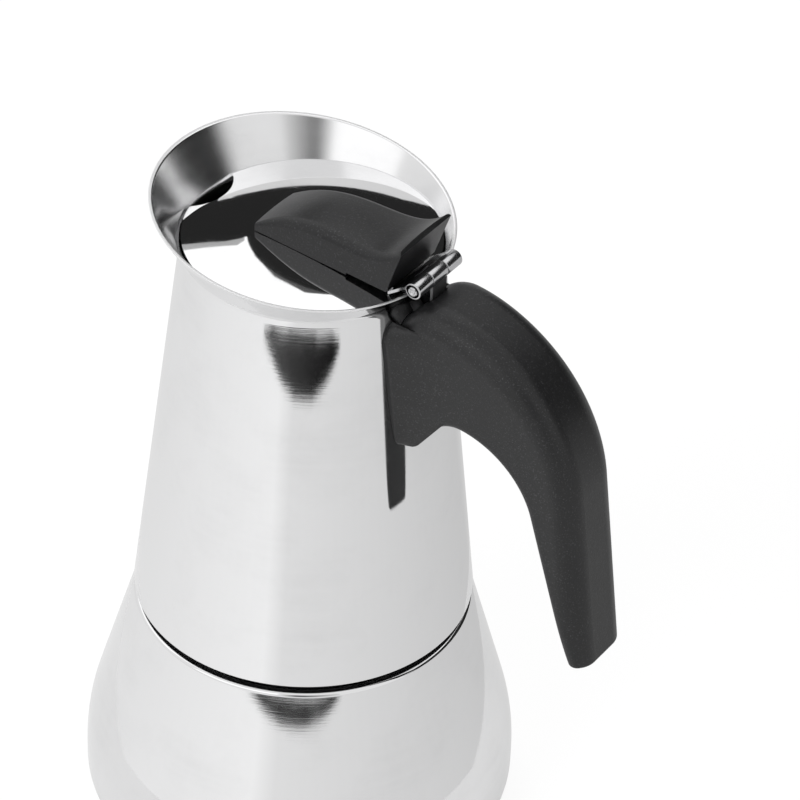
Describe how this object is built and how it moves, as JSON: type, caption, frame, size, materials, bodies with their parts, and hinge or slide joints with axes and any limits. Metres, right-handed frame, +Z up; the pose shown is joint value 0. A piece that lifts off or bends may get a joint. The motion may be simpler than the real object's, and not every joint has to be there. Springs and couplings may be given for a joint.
{
  "type": "moka pot",
  "caption": "Stovetop coffee maker: bellied steel boiler with safety valve, screw-on tapered jug with flared pouring collar, hinged lid with thumb tab, and a curved black handle.",
  "frame": {"origin": "centre of the base disc's underside, on the pot's axis, at table level", "axes": "+Z up along the pot's axis, +X towards the handle, -X towards the pouring side of the collar, +Y towards the safety valve"},
  "size_m": [0.1446, 0.1156, 0.1911],
  "materials": {
    "shell_steel": "polished stainless steel with fine circumferential brushing",
    "lid_steel": "mirror polished stainless steel",
    "base_steel": "turned stainless steel",
    "inner_steel": "satin stainless steel",
    "hinge_steel": "bright stainless steel",
    "fastener_steel": "bright steel",
    "spring_steel": "bright drawn wire",
    "valve_brass": "turned brass",
    "washer_fibre": "red fibre washer",
    "seal_rubber": "off-white silicone",
    "grip_plastic": "charcoal black moulded plastic with a fine grain"
  },
  "bodies": {
    "boiler": {"boiler_shell": "shell_steel", "base_disc": "base_steel", "valve_boss": "inner_steel", "valve_washer": "washer_fibre", "valve_body": "valve_brass", "valve_cap": "valve_brass", "valve_spring": "spring_steel"},
    "valve_plunger": {"valve_plunger": "valve_brass"},
    "funnel": {"funnel_cup": "inner_steel", "funnel_tube": "inner_steel", "basket_sieve": "inner_steel"},
    "seal": {"gasket": "seal_rubber", "filter_plate": "inner_steel"},
    "jug": {"jug_shell": "shell_steel", "thread_ring": "inner_steel", "jug_floor": "inner_steel", "column_tube": "inner_steel", "column_cap": "inner_steel", "hinge_bracket": "hinge_steel", "handle_bracket": "hinge_steel", "handle": "grip_plastic", "handle_screw": "fastener_steel"},
    "lid": {"lid_plate": "lid_steel", "lid_leaf": "hinge_steel", "hinge_pin": "hinge_steel", "knob": "grip_plastic", "knob_washer": "fastener_steel", "knob_screw": "fastener_steel"}
  },
  "joints": [
    {"name": "lift_out", "type": "slide", "parent": "boiler", "child": "funnel", "axis": [0, 0, 1], "range_m": [0, 0.08]},
    {"name": "thread_lift", "type": "slide", "parent": "funnel", "child": "seal", "axis": [0, 0, 1], "range_m": [0, 0.0061]},
    {"name": "unscrew", "type": "hinge", "parent": "seal", "child": "jug", "pos_m": [0, 0, 0.07], "axis": [0, 0, 1], "range_deg": [0, 540]},
    {"name": "lid_hinge", "type": "hinge", "parent": "jug", "child": "lid", "pos_m": [0.035, 0, 0.1802], "axis": [0, 1, 0], "range_deg": [0, 115]},
    {"name": "valve_lift", "type": "slide", "parent": "boiler", "child": "valve_plunger", "axis": [0, 0.9626, 0.271], "range_m": [0, 0.0012], "stiffness_N_per_m": 1000, "springref_m": -0.004, "deforming": ["valve_spring"]}
  ],
  "couplings": [
    {"joint": "thread_lift", "follows": "unscrew", "m_per_rad": 0.00063662}
  ]
}
